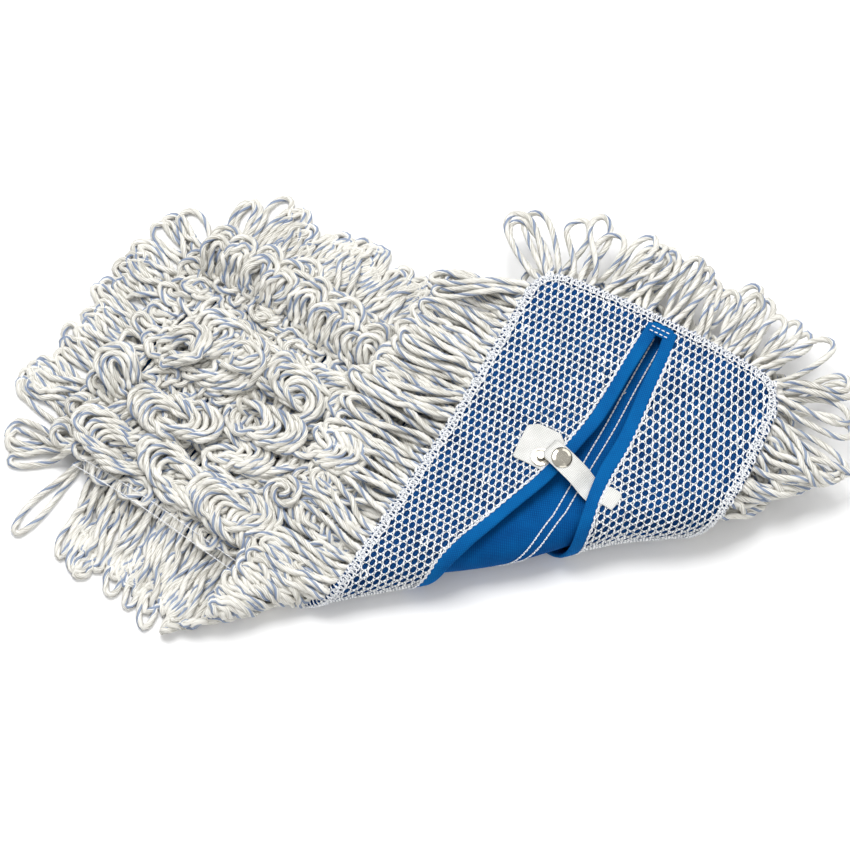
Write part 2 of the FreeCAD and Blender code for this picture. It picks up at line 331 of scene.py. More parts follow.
# Depth at which a loop starts from the canvas.
ROOT_DEPTH = CANVAS_HIGH + 2.2 * MM
# Highest strands of the yarn that is caught in the fold, and of the yarn that hangs from the folded end.
CRUSHED_HIGH, FLAP_YARN_HIGH = 17.0 * MM, 21.0 * MM
# The folded end's slanting edge over the flat part: where it lies at v = 0, and how far it leans with v.
COVERED_FROM, CRUSHED_FROM, BESIDE_FROM = 172 * MM, 170 * MM, 128 * MM
FLAP_SLANT = 0.105


def frames_along(path):
    """Directions square to a path that don't spin about it."""
    tangent = np.gradient(path, axis=0)
    tangent /= np.maximum(np.linalg.norm(tangent, axis=1), 1e-9)[:, None]
    start = Vector(tangent[0])
    side = start.orthogonal().normalized()
    sides = []
    for t in tangent:
        direction = Vector(t)
        side = (side - direction * side.dot(direction)).normalized()
        sides.append(side)
    sides = np.array(sides)
    return sides, np.cross(tangent, sides)


def strand_mesh(name, paths, radius, section, materials, turn, marked=0, seed=0):
    """Tubes along paths, with a twisted section whose first faces take the second material."""
    rng = np.random.default_rng(seed)
    angles = np.radians([point[0] for point in section])
    shares = np.array([point[1] for point in section])
    count = len(section)
    points, faces, marks, uv, base = [], [], [], [], 0
    for path in paths:
        side, other = frames_along(path)
        along = lengths_along(path)
        spin = rng.uniform(0, 6.28) + (2 * math.pi / turn) * along if turn else np.zeros(len(path))
        theta = angles[None, :] + spin[:, None]
        ring = (np.cos(theta)[..., None] * side[:, None] + np.sin(theta)[..., None] * other[:, None])
        ring = path[:, None] + ring * (shares * radius)[None, :, None]
        points.append(ring.reshape(-1, 3))
        uv.append(np.column_stack([np.tile(angles * radius, len(path)), np.repeat(along, count)]))
        faces.append(base + tube_faces(len(path), count))
        marks.append(np.tile(np.arange(count) < marked, len(path) - 1))
        base += len(path) * count
    return make_mesh(name, np.concatenate(points), np.concatenate(faces), materials,
                     np.concatenate(marks), np.concatenate(uv))


ROUND_SECTION = tuple((angle, 1.0) for angle in range(0, 360, 60))


def evened(path, spacing):
    """The same path with points at an even spacing."""
    along = lengths_along(path)
    count = max(int(along[-1] / spacing), 4)
    where = np.linspace(0, along[-1], count)
    return np.column_stack([np.interp(where, along, path[:, i]) for i in range(3)])


def smoothed(path, spacing):
    """A smooth curve through the points of a path, with points at an even spacing."""
    before, after = np.roll(path, 1, axis=0), np.roll(path, -1, axis=0)
    before[0], after[-1] = 2 * path[0] - path[1], 2 * path[-1] - path[-2]
    slope = (after - before) / 2
    t = np.linspace(0, 1, 6, endpoint=False)[:, None, None]
    start, end = path[None, :-1], path[None, 1:]
    fine = (start * (2 * t ** 3 - 3 * t ** 2 + 1) + slope[None, :-1] * (t ** 3 - 2 * t ** 2 + t)
            + end * (3 * t ** 2 - 2 * t ** 3) + slope[None, 1:] * (t ** 3 - t ** 2))
    fine = np.concatenate([fine.transpose(1, 0, 2).reshape(-1, 3), path[-1:]])
    return evened(fine, spacing)


def yarn_loop(root, heading, lean, curl, length, width, off=0.0, twist=0.0, tuck=0.5 * MM):
    """A loop of yarn from its root and back.

    It leaves the root leaning from upright towards heading, and bends over to the angle curl at its tip."""
    turn = np.linspace(0, 2 * math.pi, 48)
    share = (1 - np.cos(turn)) / 2
    side = width / 2 * np.sin(turn) * (0.3 + 0.7 * share) + tuck / 2 * np.cos(turn / 2)
    spin = twist * 2 * math.pi * (1 - share) ** 1.3
    off_axis = off + side * np.sin(spin)
    side = side * np.cos(spin)
    steps = np.linspace(0, 1, 33)
    angle = lean + (curl - lean) * steps
    ahead = np.interp(share, steps, np.cumsum(np.sin(angle)) / 33) * length
    rise = np.interp(share, steps, np.cumsum(np.cos(angle)) / 33) * length
    angle = lean + (curl - lean) * share
    ahead = ahead + off_axis * np.cos(angle)
    rise = rise - off_axis * np.sin(angle)
    c, s = math.cos(heading), math.sin(heading)
    return np.column_stack([root[0] + c * ahead - s * side, root[1] + s * ahead + c * side, root[2] + rise])


def wobble(rng, count, size):
    """A small smooth wander that is nothing at both ends."""
    t = np.linspace(0, 1, count)
    total = np.zeros((count, 3))
    for wave in (1.5, 2.5, 4.0):
        total += np.sin(t[:, None] * wave * 2 * math.pi + rng.uniform(0, 6.28, 3)) / wave
    return total * np.sin(t * math.pi)[:, None] * size


def close_pairs(points, reach):
    """Pairs of points nearer to each other than reach, found through a grid of cells."""
    cells = np.floor(points / reach).astype(np.int64)
    cells -= cells.min(axis=0) - 1
    span = cells.max(axis=0) + 2
    strides = np.array([span[1] * span[2], span[2], 1])
    keys = cells @ strides
    order = np.argsort(keys, kind="stable")
    ordered = keys[order]
    first_found, second_found = [], []
    for step in itertools.product((-1, 0, 1), repeat=3):
        if step < (0, 0, 0):
            continue
        wanted = keys + int(np.dot(step, strides))
        low, high = np.searchsorted(ordered, wanted, "left"), np.searchsorted(ordered, wanted, "right")
        count = high - low
        i = np.repeat(np.arange(len(points)), count)
        j = order[np.repeat(low, count) + np.arange(count.sum()) - np.repeat(np.cumsum(count) - count, count)]
        kept = i < j if step == (0, 0, 0) else np.full(len(i), True)
        first_found.append(i[kept])
        second_found.append(j[kept])
    i, j = np.concatenate(first_found), np.concatenate(second_found)
    near = ((points[i] - points[j]) ** 2).sum(axis=1) < reach ** 2
    return i[near], j[near]


def settle(strands, rounds):
    """Lets the strands press each other apart and sink where they are loose, with their roots held."""
    points = np.concatenate(strands)
    owner = np.repeat(np.arange(len(strands)), [len(strand) for strand in strands])
    index = np.arange(len(points))
    linked = owner[1:] == owner[:-1]
    first, second = index[:-1][linked], index[1:][linked]
    rest = np.linalg.norm(points[second] - points[first], axis=1)
    held = np.full(len(points), True)
    held[2:-2] = (owner[2:-2] != owner[:-4]) | (owner[2:-2] != owner[4:])
    start = points.copy()
    pull = np.where(fold_distance(points[:, 0], points[:, 1]) < 0, -SINK, SINK)
    width = settings().yarn_width * SQUASHED
    for _ in range(rounds):
        points[:, 2] += pull
        i, j = close_pairs(points, width)
        apart = (owner[i] != owner[j]) | (np.abs(i - j) > 2)
        i, j = i[apart], j[apart]
        gap = points[i] - points[j]
        distance = np.maximum(np.linalg.norm(gap, axis=1), 0.1 * MM)
        push = gap * ((width - distance) / distance * PRESSED)[:, None]
        for axis in range(3):
            forth, back = [np.bincount(ends, push[:, axis], len(points)) for ends in (i, j)]
            points[:, axis] += forth - back
        for _ in range(2):
            link = points[second] - points[first]
            length = np.maximum(np.linalg.norm(link, axis=1), 0.1 * MM)
            fix = link * ((length - rest) / length * UNSTRETCHED)[:, None]
            points[first] += fix
            points[second] -= fix
        points[held] = start[held]
        low, high = yarn_limits(points)
        points[:, 2] = np.where(held, points[:, 2], np.clip(points[:, 2], low, high))
    return np.split(points, np.flatnonzero(~linked) + 1)


def yarn_limits(points):
    """Lowest and highest depth of the middle of a strand, at points of the unfolded pad."""
    u, v = points[:, 0], points[:, 1]
    radius = settings().yarn_width / 2
    inside = (v > 0) & (v < PAD_WIDTH) & (u > 0) & (u < PAD_LENGTH)
    low = np.where(inside, CANVAS_HIGH + radius * 2.3, radius * 1.02)
    past = fold_distance(u, v)
    covered = (past < 0) & beyond(u, v, COVERED_FROM) & inside
    open_high = CANVAS_HIGH + settings().pile_height - radius
    high = np.where(past < 0, open_high, FLAP_YARN_HIGH)
    high = np.where(covered | (inside & (past > 0) & (past < 50 * MM)), CRUSHED_HIGH, high)
    return low, high


def beyond(u, v, start):
    """Whether a place lies past a line that slants as the folded end's edge does."""
    return u > start - FLAP_SLANT * v


def body_index(u, v):
    """Which body a yarn root is sewn to."""
    return int(np.clip(np.floor(float(thirds(u, v)) + 0.5), 0, 3))


# ---- materials ----
def linear(code):
    """An sRGB hex colour as linear red, green, blue and alpha."""
    values = [int(code[i:i + 2], 16) / 255 for i in (1, 3, 5)]
    return [c / 12.92 if c <= 0.04045 else ((c + 0.055) / 1.055) ** 2.4 for c in values] + [1.0]


def add(nodes, kind, inputs=None, stops=(), **options):
    """Adds a node with its options and colour stops, and gives its inputs values or links."""
    node = nodes.new(kind)
    for name, value in options.items():
        setattr(node, name, value)
    for i, (position, colour) in enumerate(stops):
        element = node.color_ramp.elements[i]
        element.position, element.color = position, colour
    for name, value in (inputs or {}).items():
        if isinstance(value, bpy.types.NodeSocket):
            node.id_data.links.new(value, node.inputs[name])
        else:
            node.inputs[name].default_value = value
    return node


def new_material(name):
    """An empty node material and its nodes."""
    material = bpy.data.materials.new(name)
    material.use_nodes = True
    material.node_tree.nodes.clear()
    return material, material.node_tree.nodes


def surface(material, stops, level, bump, values):
    """Ends a finish: its colour from a level, its relief, its shader and the output."""
    nodes = material.node_tree.nodes
    inputs = {"Base Color": add(nodes, "ShaderNodeValToRGB", {"Fac": level}, stops).outputs[0], **values}
    if bump:
        relief = dict(zip(("Height", "Strength", "Distance"), bump))
        inputs["Normal"] = add(nodes, "ShaderNodeBump", relief).outputs[0]
    shader = add(nodes, "ShaderNodeBsdfPrincipled", inputs)
    add(nodes, "ShaderNodeOutputMaterial", {"Surface": shader.outputs[0]})
    return material


def spun_yarn(name, light, dark, sheen):
    """Ring-spun cotton blend, plied: soft and matt, with fine slanting fibres and slightly grey hollows."""
    material, nodes = new_material(name)
    where = add(nodes, "ShaderNodeUVMap", uv_map="cloth").outputs[0]
    # Fibre bundles 0.85 mm wide and 14 mm long, drawn coarser than real fibres so that they show.
    space = {"Vector": where, "Rotation": (0, 0, 0.12), "Scale": (1 / (0.85 * MM), 1 / (14 * MM), 1)}
    along = add(nodes, "ShaderNodeMapping", space).outputs[0]
    fibres = add(nodes, "ShaderNodeTexNoise", {"Vector": along, "Scale": 1.0, "Detail": 2.0}).outputs["Fac"]
    # Blotches about 26 mm across, as dust and washing leave them.
    spot = add(nodes, "ShaderNodeTexCoord").outputs["Object"]
    blotch = add(nodes, "ShaderNodeTexNoise", {"Vector": spot, "Scale": 38.0, "Detail": 2.0}).outputs["Fac"]
    levels = {"Factor": 0.25, "A": fibres, "B": blotch}
    level = add(nodes, "ShaderNodeMix", levels, data_type="FLOAT").outputs[0]
    return surface(material, [(0.36, dark), (0.54, light)], level, (fibres, 0.9, 0.8 * MM), {
        "Roughness": 0.9, "Sheen Weight": sheen, "Sheen Roughness": 0.5, "Specular IOR Level": 0.25})


def woven(name, light, dark, thread, twill, rough, gloss, depth=0.2 * MM):
    """Woven cloth: crossing threads, drawn a little coarser than the real ones so that they show."""
    material, nodes = new_material(name)
    where = add(nodes, "ShaderNodeUVMap", uv_map="cloth").outputs[0]
    turned = add(nodes, "ShaderNodeMapping", {"Vector": where, "Rotation": (0, 0, twill)}).outputs[0]
    wave = {"Vector": turned, "Scale": 1 / (thread * math.pi), "Distortion": 1.2, "Detail": 1.0,
            "Detail Scale": 2.0}
    bands = [add(nodes, "ShaderNodeTexWave", wave, bands_direction=direction).outputs["Fac"]
             for direction in ("X", "Y")]
    crossing = add(nodes, "ShaderNodeMath", {0: bands[0], 1: bands[1]}, operation="MULTIPLY").outputs[0]
    # Wear in blotches about 17 mm across.
    blotch = add(nodes, "ShaderNodeTexNoise", {"Vector": where, "Scale": 60.0, "Detail": 4.0}).outputs["Fac"]
    levels = {"Factor": 0.55, "A": crossing, "B": blotch}
    level = add(nodes, "ShaderNodeMix", levels, data_type="FLOAT").outputs[0]
    return surface(material, [(0.2, dark), (0.65, light)], level, (crossing, 0.6, depth), {
        "Roughness": rough, "Specular IOR Level": gloss})


def knitted(name, light, dark):
    """Warp-knit or spun polyester: smooth bright filament in small slanting stitches."""
    material, nodes = new_material(name)
    where = add(nodes, "ShaderNodeUVMap", uv_map="cloth").outputs[0]
    wave = {"Vector": where, "Scale": 1 / (4.2 * MM), "Distortion": 6.0, "Detail": 2.0, "Detail Scale": 1.5}
    stitches = add(nodes, "ShaderNodeTexWave", wave, bands_direction="DIAGONAL").outputs["Fac"]
    # Grain about 1.1 mm across, as single filaments wouldn't show.
    grain = add(nodes, "ShaderNodeTexNoise", {"Vector": where, "Scale": 900.0, "Detail": 2.0}).outputs["Fac"]
    levels = {"Factor": 0.5, "A": stitches, "B": grain}
    level = add(nodes, "ShaderNodeMix", levels, data_type="FLOAT").outputs[0]
    return surface(material, [(0.25, dark), (0.55, light)], level, (level, 0.5, 0.2 * MM), {
        "Roughness": 0.6, "Sheen Weight": 0.2})


def plated(name, light, dark, rough=0.12):
    """Pressed brass with nickel plate: a bright metal, softly polished, with fine scuffs."""
    material, nodes = new_material(name)
    # Scuffs about 9 mm across, so that the small parts aren't all one tone.
    spot = add(nodes, "ShaderNodeTexCoord").outputs["Object"]
    scuffs = add(nodes, "ShaderNodeTexNoise", {"Vector": spot, "Scale": 110.0, "Detail": 1.0}).outputs["Fac"]
    levels = {"Value": scuffs, "To Min": rough, "To Max": rough + 0.03}
    roughness = add(nodes, "ShaderNodeMapRange", levels).outputs[0]
    return surface(material, [(0.3, dark), (0.7, light)], scuffs, None, {
        "Metallic": 1.0, "Roughness": roughness})


_materials = {}


def finish(name):
    """The finish of that name, made once."""
    if name not in _materials:
        _materials[name] = FINISHES[name]()
    return _materials[name]


def tones(name, *shares):
    """The light tone of a finish, from its colour setting, and the dark one, lowered to shares of it."""
    light = list(getattr(settings(), name + "_colour"))
    return light, [part * share for part, share in zip(light, shares)] + [1.0]


FINISHES = {
    # Soft matt white with grey hollows.
    "yarn": lambda: spun_yarn("ring-spun cotton blend yarn", *tones("yarn", 0.52, 0.51, 0.48), 0.15),
    # A faded blue ply that runs through the white.
    "tracer": lambda: spun_yarn("dyed tracer ply", *tones("tracer", 0.42, 0.47, 0.58), 0.1),
    # Bright white filament that stands out from the lining.
    "net": lambda: knitted("warp-knit polyester net", *tones("net", 0.33, 0.36, 0.40)),
    # Deep blue that shows through the net's holes.
    "lining": lambda: woven("woven polyester lining", *tones("lining", 0.2, 0.14, 0.2),
                            1.3 * MM, 0.0, 0.8, 0.1),
    # Mid blue with a flat, dusty weave.
    "canvas": lambda: woven("woven cotton canvas", *tones("canvas", 1.0, 0.42, 0.51), 1.2 * MM, 0.6, 0.9, 0.1),
    # Brighter blue with slanting twill lines.
    "binding": lambda: woven("cotton twill binding", *tones("binding", 1.0, 0.50, 0.62),
                             1.2 * MM, 0.78, 0.9, 0.1),
    # Slightly greyer than the net, so that stitches show on it.
    "thread": lambda: knitted("spun polyester thread", *tones("net", 0.58, 0.60, 0.65)),
    # Clean white with a visible weave.
    "webbing": lambda: woven("woven polyester tape", *tones("tape", 0.62, 0.62, 0.60),
                             1.0 * MM, 0.0, 0.8, 0.3, 0.35 * MM),
    # Painted shade: dull, dark grey metal, as the stud lies in shade.
    "stud": lambda: plated("dull nickel-plated brass", *tones("metal", 0.17, 0.17, 0.17), 0.34),
    # Bright warm grey with clear reflections.
    "metal": lambda: plated("nickel-plated pressed brass", *tones("metal", 0.9, 0.9, 0.9)),
}


# ---- settings ----
def colour_setting(name, description, code):
    """A colour that a user can change."""
    return bpy.props.FloatVectorProperty(name=name, description=description, default=linear(code),
                                         subtype="COLOR", size=4, min=0, max=1)


def size_setting(name, description, default, low, high):
    """A size in mm that a user can change."""
    return bpy.props.FloatProperty(name=name, description=description, default=default * MM, min=low * MM,
                                   max=high * MM, unit="LENGTH", subtype="DISTANCE")


class MopRefillSettings(bpy.types.PropertyGroup):
    """Sizes and colours that a user would change."""

    yarn_width: size_setting("Yarn width", "Thickness of the plied yarn", 4.0, 2, 6)
    fringe_length: size_setting("Fringe length", "How far the fringe loops reach past the backing", 61, 20, 80)
    pile_height: size_setting("Pile height", "Height of the free yarn above the canvas", 24, 10, 26)
    net_pitch: size_setting("Net pitch", "Distance between holes of the net across the pad", 4.1, 2, 8)
    binding_width: size_setting("Binding width", "Width of the binding along the slit", 8, 4, 12)
    yarn_colour: colour_setting("Yarn", "The undyed mop yarn", "#F2F0E9")
    tracer_colour: colour_setting("Tracer", "The dyed ply in the mop yarn", "#9CA9BF")
    net_colour: colour_setting("Net", "The knitted net of the back", "#FAFBFC")
    lining_colour: colour_setting("Lining", "The cloth under the net", "#0C4E8C")
    canvas_colour: colour_setting("Canvas", "The base that the yarn is sewn to", "#005B9E")
    binding_colour: colour_setting("Binding", "The tape along the slit", "#0467A8")
    tape_colour: colour_setting("Strap", "The strap and its patches", "#F6F6F4")
    metal_colour: colour_setting("Snap", "The plated snap fastener", "#CFCABD")


def settings():
    """The scene's mop settings."""
    return bpy.context.scene.mop_refill


# ---- covers ----
def half_grid(side, low_edge, inset, depth, step):
    """Points of half a cover, from beside the slit to the pad's rounded outline."""
    columns = int(PAD_LENGTH / step)
    rows = int(PAD_MIDDLE / step)
    points = []
    for row in range(rows + 1):
        share = row / rows
        for column in range(columns + 1):
            along = column / columns
            u = inset + along * (PAD_LENGTH - 2 * inset)
            near = slit_half(u, side) + low_edge
            off = near + share * (PAD_MIDDLE - inset - near)
            v = PAD_MIDDLE + side * off
            start = corner_inset(v, inset)
            points.append((start + along * (PAD_LENGTH - 2 * start), v, depth))
    return np.array(points), grid_faces(rows + 1, columns + 1)


def net_lattice(side):
    """Knitted net over half the back: staggered long holes, with tiny gaps where three strands meet."""
    across = settings().net_pitch
    along = across * 1.2
    hole_across, hole_along = across * 0.355, along * 0.485
    # The strand's middle line round one hole, cut short at the corners it shares with two others.
    corner_places = ((0, 2 / 3), (0.5, 1 / 3), (0.5, -1 / 3), (0, -2 / 3), (-0.5, -1 / 3), (-0.5, 1 / 3))
    outline = []
    for i, corner in enumerate(corner_places):
        for other in (corner_places[i - 1], corner_places[(i + 1) % 6]):
            outline.append([corner[k] + 0.24 * (other[k] - corner[k]) for k in (0, 1)])
    outline = np.array(outline) * (across, along)
    heading = np.arctan2(outline[:, 0] / hole_across, outline[:, 1] / hole_along)
    # Slightly square holes, as the strands pull them.
    pulled = [np.sign(wave(heading)) * np.abs(wave(heading)) ** 0.88 for wave in (np.sin, np.cos)]
    hole = np.column_stack([hole_across * pulled[0], hole_along * pulled[1]])
    rng = np.random.default_rng(11 + side)
    points, faces = [], []
    for row in range(int(PAD_LENGTH / along) + 2):
        for column in range(int(PAD_MIDDLE / across) + 2):
            u = row * along
            off = (column + (row % 2) / 2) * across
            v = PAD_MIDDLE + side * off
            edge = min(min(u, PAD_LENGTH - u) - corner_inset(np.float64(v), 0.0), PAD_MIDDLE - off)
            if off < slit_half(u, side) + settings().binding_width * 0.55 or edge < 0.8 * MM:
                continue
            base = len(points) * 12
            scale = (1 + rng.normal(0, 0.045, 2)) * (0.72 + 0.28 * ease(edge / (6 * MM)))
            shift = rng.normal(0, 0.09 * MM, 2)
            if rng.random() < 0.02:
                scale *= (0.6, 0.8)
            rings = [(outline, 0.15 * MM), (outline * 0.4 + hole * 0.6, -0.1 * MM),
                     (hole * scale + shift, 0.8 * MM)]
            for ring, depth in rings:
                points.append(np.column_stack([u + ring[:, 1], v + side * ring[:, 0], np.full(12, depth)]))
            faces.append(base + tube_faces(3, 12)[:, ::side])
    return np.concatenate(points), np.concatenate(faces)


def sew(name, runs, radius, depth):
    """Thread laid along runs on the unfolded pad and folded with it, in three pieces, one for each third of
    the fold.
    """
    groups = ([], [], [])
    for run in runs:
        run = np.array(run)
        u, v = run[len(run) // 2][:2]
        groups[int(np.clip(thirds(u, v) // 1, 0, 2))].append(place(run))
    for third, paths in enumerate(groups):
        if paths:
            piece = strand_mesh("%s_%s" % (name, PARTS[third]), paths, radius, ROUND_SECTION,
                                [finish("thread")], 0)
            bend(piece, third, depth)


class MOPREFILL_OT_covers(bpy.types.Operator):
    """Builds the net covers and the blue lining under them"""
    bl_idname = "mop_refill.covers"
    bl_label = "Covers"

    def execute(self, context):
        for side, name in ((-1, "near"), (1, "far")):
            edge = settings().binding_width - 2 * MM
            points, faces = half_grid(side, edge, 1.5 * MM, NET_DEPTH + 0.15 * MM, 3.2 * MM)
            fold_nodes = ["cover_%s_fold_1" % name, "cover_%s_fold_2" % name]
            nodes = [["lining_%s_flat" % name], fold_nodes, ["lining_%s_end" % name]]
            fold_cloth("lining_" + name, points, faces, finish("lining"), NET_DEPTH,
                       nodes, "stretched", nodes_for("canvas"))
            points, faces = net_lattice(side)
            nodes = [["net_cover_%s_flat" % name], fold_nodes, ["net_cover_%s_end" % name]]
            fold_cloth("net_" + name, points, faces, finish("net"), 0.0,
                       nodes, "stretched", cloths_of("lining_" + name))
        return {"FINISHED"}


class MOPREFILL_OT_canvas(bpy.types.Operator):
    """Builds the canvas base and the two rows of lockstitch along its middle"""
    bl_idname = "mop_refill.canvas"
    bl_label = "Canvas"

    def execute(self, context):
        step = 3.0 * MM
        inset = 2.5 * MM
        rows, columns = int(PAD_WIDTH / step), int(PAD_LENGTH / step)
        points = []
        for row in range(rows + 1):
            v = inset + row / rows * (PAD_WIDTH - 2 * inset)
            start = corner_inset(v, inset)
            for column in range(columns + 1):
                u = start + column / columns * (PAD_LENGTH - 2 * start)
                points.append((u, v, canvas_depth(u, v)))
        fold_cloth("canvas", points, grid_faces(rows + 1, columns + 1), finish("canvas"), CANVAS_LOW,
                   nodes_for("canvas"), "stretched", [[], [], []])
        stitch_rows()
        return {"FINISHED"}


def canvas_depth(u, v):
    """The canvas is drawn out towards the covers where the pad turns over."""
    pull = math.exp(-((thirds(u, v) - 1.6) / 1.3) ** 2)
    lane = math.exp(-((v - PAD_MIDDLE) / (34 * MM)) ** 2)
    return CANVAS_LOW - 5.0 * MM * pull * lane


def stitch_rows():
    """Two lockstitch rows, as separate short stitches of white thread."""
    length, pitch, half, radius = 2.4 * MM, 3.1 * MM, 2.75 * MM, 0.45 * MM
    runs = []
    for v in (PAD_MIDDLE + STITCH_SHIFT - half, PAD_MIDDLE + STITCH_SHIFT + half):
        for start in np.arange(TAPE_STOP + 4 * MM, PAD_LENGTH - TAPE_STOP - 6 * MM, pitch):
            runs.append([(start + t * length, v,
                          canvas_depth(start + t * length, v) - radius * math.sin(math.pi * t))
                         for t in np.linspace(0, 1, 5)])
    sew("canvas_stitches", runs, radius, CANVAS_LOW)


class MOPREFILL_OT_bindings(bpy.types.Operator):
    """Builds the blue binding along both edges of the slit, and its end tapes"""
    bl_idname = "mop_refill.bindings"
    bl_label = "Bindings"

    def execute(self, context):
        width = settings().binding_width
        # Across the folded binding: (off from the slit's edge, depth), outer face first.
        across = [(width, 0.1), (width * 0.97, -0.35), (width * 0.8, -0.6), (width * 0.45, -0.65),
                  (1.2 * MM, -0.6), (0.3 * MM, -0.3), (0.0, 0.6), (0.3 * MM, 1.5), (1.2 * MM, 1.9),
                  (width * 0.6, 1.9), (width, 1.8)]
        stations = np.arange(SLIT[0, 0], SLIT[-1, 0], 2.5 * MM)
        selvage = []
        for side, name in ((-1, "near"), (1, "far")):
            points = []
            rng = np.random.default_rng(5 + side)
            waves = rng.uniform(0, 6.28, 3)
            for u in stations:
                edge = slit_half(u, side) + 0.25 * MM * math.sin(u / (9 * MM) + waves[0])
                lift = 0.3 * MM * math.sin(u / (13 * MM) + waves[1]) - 0.1 * MM
                for off, depth in across:
                    points.append((u, PAD_MIDDLE + side * (edge + off), depth * MM + lift))
            faces = grid_faces(len(stations), len(across))
            if side < 0:
                faces = faces[:, ::-1]
            fold_cloth("slit_binding_" + name, points, faces, finish("binding"), 0.0,
                       nodes_for("slit_binding_" + name), "folded", cloths_of("lining_" + name))
            # The net's selvage: two wavy threads, a stitch of the net long.
            fine = np.arange(SLIT[0, 0] + 4 * MM, SLIT[-1, 0] - 4 * MM, 0.8 * MM)
            turns = fine * 2 * math.pi / (4.1 * MM)
            for shift, phase in ((0.2, 0.0), (0.75, 1.6)):
                off = slit_half(fine, side) + width + shift * MM + 0.38 * MM * np.sin(turns + phase)
                depth = -0.45 * MM + 0.2 * MM * np.cos(2 * turns)
                line = np.column_stack([fine, PAD_MIDDLE + side * off, depth])
                selvage.extend(line[i:i + 9] for i in range(0, len(line) - 8, 8))
        sew("net_selvage", selvage, 0.42 * MM, 0.0)
        self.end_tape("flat", TAPE_STOP + 3 * MM, 1, BODIES[0])
        self.end_tape("end", PAD_LENGTH - TAPE_STOP - 3 * MM, -1, BODIES[3])
        return {"FINISHED"}

    @staticmethod
    def end_tape(end, u, inner, body):
        """Tape over one end of the slit, with two rows of stitches."""
        middle = PAD_MIDDLE + STITCH_SHIFT
        tape = patch_mesh("slit_end_tape_" + end + "_cloth", u, middle, 8 * MM, 15 * MM,
                          -1.3 * MM, 1.0 * MM, finish("binding"))
        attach(tape, body)
        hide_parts("slit_end_tape_" + end)
        stitches = [[(u + shift * MM * inner, middle + (start + step) * MM, depth * MM)
                     for step, depth in enumerate((-1.45, -1.6, -1.45))]
                    for shift in (-0.4, 2.6) for start in (-6.2, -3.1, 0, 3.1)]
        sew("tape_stitches_" + end, stitches, 0.38 * MM, 0.0)


def patch_mesh(name, u, v, length, width, low, thick, material, pucker=0.0):
    """A flat piece of tape with rounded corners and soft edges, lying on the pad."""
    count, squareness = 40, 2 / 5
    angle = 2 * math.pi * np.arange(count) / count
    waves = np.column_stack([np.cos(angle), np.sin(angle)])
    shape = np.copysign(np.abs(waves) ** squareness, waves) * (length / 2, width / 2)
    # From the middle of the under side to that of the upper: (share of the outline, share of the thickness).
    profile = [(0.001, 0.0), (0.15, 0.0), (0.3, 0.0), (0.45, 0.0), (0.6, 0.0), (0.75, 0.0), (0.88, 0.02),
               (0.96, 0.12), (1.0, 0.45), (0.99, 0.8), (0.9, 1.0), (0.001, 1.0)]
    points = []
    for share, depth in profile:
        ring = shape * share
        ring = ring * (1 + pucker / (3 * MM) * np.sin(np.arange(count) * 0.8 + 1))[:, None]
        fold = pucker * np.sin(ring[:, 0] / (1.3 * MM) + 1.0) * np.sin(ring[:, 1] / (1.5 * MM))
        height = low + thick * depth + fold * (depth < 0.5)
        points.append(np.column_stack([u + ring[:, 0], v + ring[:, 1], height]))
    points = np.concatenate(points)
    faces = tube_faces(len(profile), count)
    return make_mesh(name, place(points), faces, [material], None, points[:, :2])


# ---- serged edge ----
class MOPREFILL_OT_serged_edge(bpy.types.Operator):
    """Builds the serged edge: the wrapped side of the backing and the threads over it"""
    bl_idname = "mop_refill.serged_edge"
    bl_label = "Serged Edge"

    def execute(self, context):
        # Round the side of the backing: (in from the edge, depth), from the cover to the canvas.
        section = [(4.5, 0.55), (3.0, 0.35), (1.5, 0.5), (0.4, 1.2), (0.0, 2.6), (0.1, 4.4), (0.6, 6.2),
                   (1.8, 7.6), (4.0, 8.3)]
        middle, outward = perimeter(2.0 * MM)
        closed = np.arange(len(middle) + 1) % len(middle)
        points = []
        for inset, depth in section:
            ring = middle[closed] - outward[closed] * inset * MM
            points.append(np.column_stack([ring, np.full(len(ring), depth * MM)]))
        points = np.concatenate(points)
        fold_cloth("overlock_edge", points, grid_faces(len(section), len(closed)), finish("lining"), 2 * MM,
                   nodes_for("overlock_edge"))
        self.threads()
        return {"FINISHED"}

    def threads(self):
        """Looper threads that zigzag over the edge, and the needle thread along its inner side."""
        rng = np.random.default_rng(21)
        middle, outward = perimeter(2.9 * MM)
        runs = []
        for k in range(len(middle)):
            after = (k + 1) % len(middle)
            out, out_next = outward[k], outward[after]
            inner = middle[k] - out * (5.0 + rng.normal(0, 0.35)) * MM
            inner_next = middle[after] - out_next * (5.0 + rng.normal(0, 0.35)) * MM
            edge = (middle[k] + middle[after]) / 2 + out * 0.1 * MM
            runs.append([(inner, -0.05), ((inner * 2 + edge) / 3, -0.5), ((inner + edge * 2) / 3, -0.3),
                         (edge, 1.3), (edge + out * 0.35 * MM, 4.0), (edge - out * 0.3 * MM, 7.0)])
            runs.append([(edge, 1.3), ((inner_next + edge * 2) / 3, -0.25),
                         ((inner_next * 2 + edge) / 3, -0.5), (inner_next, -0.05)])
            runs.append([(inner, -0.1), ((inner + inner_next) / 2, -0.7), (inner_next, -0.1)])
            low = middle[k] - out * (2.2 + rng.normal(0, 0.5)) * MM
            high = middle[after] - out_next * (2.2 + rng.normal(0, 0.5)) * MM
            crossing = (low + high) / 2 + out * rng.normal(0, 0.5) * MM
            runs.append([(low, -0.35), (crossing, -0.7), (high, -0.35)])
        runs = [[(*where, depth * MM) for where, depth in run] for run in runs]
        sew("overlock_threads", runs, 0.4 * MM, 0.0)


# ---- yarn ----
# Length of the fringe on each side, as a share of the fringe's setting.
FRINGE_SHARE = {"near": 1.09, "far": 1.0, "end": 0.94}
ROWS_SEWN = 5


